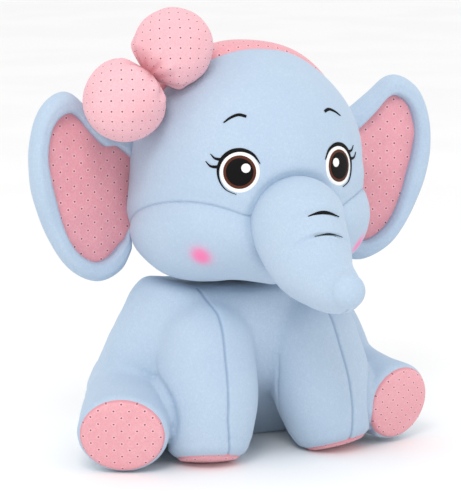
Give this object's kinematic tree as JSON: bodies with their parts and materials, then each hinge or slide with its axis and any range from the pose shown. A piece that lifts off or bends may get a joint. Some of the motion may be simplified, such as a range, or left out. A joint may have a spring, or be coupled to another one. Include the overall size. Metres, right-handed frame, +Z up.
{
  "type": "stuffed elephant",
  "caption": "Seated soft toy elephant with a big round head, raised trunk, broad lined ears, a two-lobed bow and sewn limbs that flex at their seams.",
  "frame": {"origin": "centre of the bounding box in plan, on the floor plane the elephant sits on", "axes": "+Z up; the elephant faces -Y, so its left side is +X"},
  "size_m": [0.397, 0.3328, 0.404],
  "materials": {
    "blue_plush": "short-pile velour, matt",
    "pink_print": "short-pile velour with a small dot print, matt",
    "eye_thread": "satin-stitch embroidery",
    "black_thread": "satin-stitch embroidery",
    "polyester_filling": "loose white fibre"
  },
  "bodies": {
    "torso_body": {"torso": "blue_plush", "torso_filling": "polyester_filling"},
    "head_body": {"head": "blue_plush", "head_filling": "polyester_filling", "crown_band": "pink_print", "left_eye": "eye_thread", "right_eye": "eye_thread", "left_brow": "black_thread", "right_brow": "black_thread", "bow_upper_lobe": "pink_print", "bow_upper_lobe_filling": "polyester_filling", "bow_lower_lobe": "pink_print", "bow_lower_lobe_filling": "polyester_filling"},
    "trunk_body": {"trunk": "blue_plush", "trunk_filling": "polyester_filling", "trunk_crease_upper": "black_thread", "trunk_crease_lower": "black_thread"},
    "tail_body": {"tail": "blue_plush"},
    "left_ear_body": {"left_ear": "blue_plush", "left_ear_lining": "pink_print", "left_ear_filling": "polyester_filling"},
    "left_front_leg_body": {"left_front_leg": "blue_plush", "left_front_leg_filling": "polyester_filling", "left_front_leg_sole": "pink_print"},
    "left_hind_leg_body": {"left_hind_leg": "blue_plush", "left_hind_leg_filling": "polyester_filling", "left_hind_leg_sole": "pink_print"},
    "right_ear_body": {"right_ear": "blue_plush", "right_ear_lining": "pink_print", "right_ear_filling": "polyester_filling"},
    "right_front_leg_body": {"right_front_leg": "blue_plush", "right_front_leg_filling": "polyester_filling", "right_front_leg_sole": "pink_print"},
    "right_hind_leg_body": {"right_hind_leg": "blue_plush", "right_hind_leg_filling": "polyester_filling", "right_hind_leg_sole": "pink_print"}
  },
  "joints": [
    {"name": "neck_nod", "type": "hinge", "parent": "torso_body", "child": "head_body", "pos_m": [0, 0.06293, 0.152], "axis": [1, 0, 0], "range_deg": [-6, 6], "stiffness_Nm_per_rad": 6},
    {"name": "trunk_lift", "type": "hinge", "parent": "head_body", "child": "trunk_body", "pos_m": [0, -0.05707, 0.221], "axis": [-1, 0, 0], "range_deg": [-1, 18], "stiffness_Nm_per_rad": 1.5},
    {"name": "tail_lift", "type": "hinge", "parent": "torso_body", "child": "tail_body", "pos_m": [0, 0.15863, 0.062], "axis": [1, 0, 0], "range_deg": [0, 60], "stiffness_Nm_per_rad": 0.02},
    {"name": "left_ear_flap", "type": "hinge", "parent": "head_body", "child": "left_ear_body", "pos_m": [0.104, 0.08593, 0.246], "axis": [0, 0, -1], "range_deg": [-15, 12], "stiffness_Nm_per_rad": 0.25},
    {"name": "left_front_leg_swing", "type": "hinge", "parent": "torso_body", "child": "left_front_leg_body", "pos_m": [0.052, 0.03693, 0.099], "axis": [-1, 0, 0], "range_deg": [-4, 7], "stiffness_Nm_per_rad": 1.5},
    {"name": "left_hind_leg_lift", "type": "hinge", "parent": "torso_body", "child": "left_hind_leg_body", "pos_m": [0.092, 0.09093, 0.05], "axis": [-0.879, -0.4769, 0], "range_deg": [0, 10], "stiffness_Nm_per_rad": 1.5},
    {"name": "right_ear_flap", "type": "hinge", "parent": "head_body", "child": "right_ear_body", "pos_m": [-0.104, 0.08593, 0.246], "axis": [0, 0, 1], "range_deg": [-15, 4], "stiffness_Nm_per_rad": 0.25},
    {"name": "right_front_leg_swing", "type": "hinge", "parent": "torso_body", "child": "right_front_leg_body", "pos_m": [-0.052, 0.03693, 0.099], "axis": [-1, 0, 0], "range_deg": [-4, 12], "stiffness_Nm_per_rad": 1.5},
    {"name": "right_hind_leg_lift", "type": "hinge", "parent": "torso_body", "child": "right_hind_leg_body", "pos_m": [-0.092, 0.09093, 0.05], "axis": [-0.879, 0.4769, 0], "range_deg": [0, 10], "stiffness_Nm_per_rad": 1.5}
  ]
}
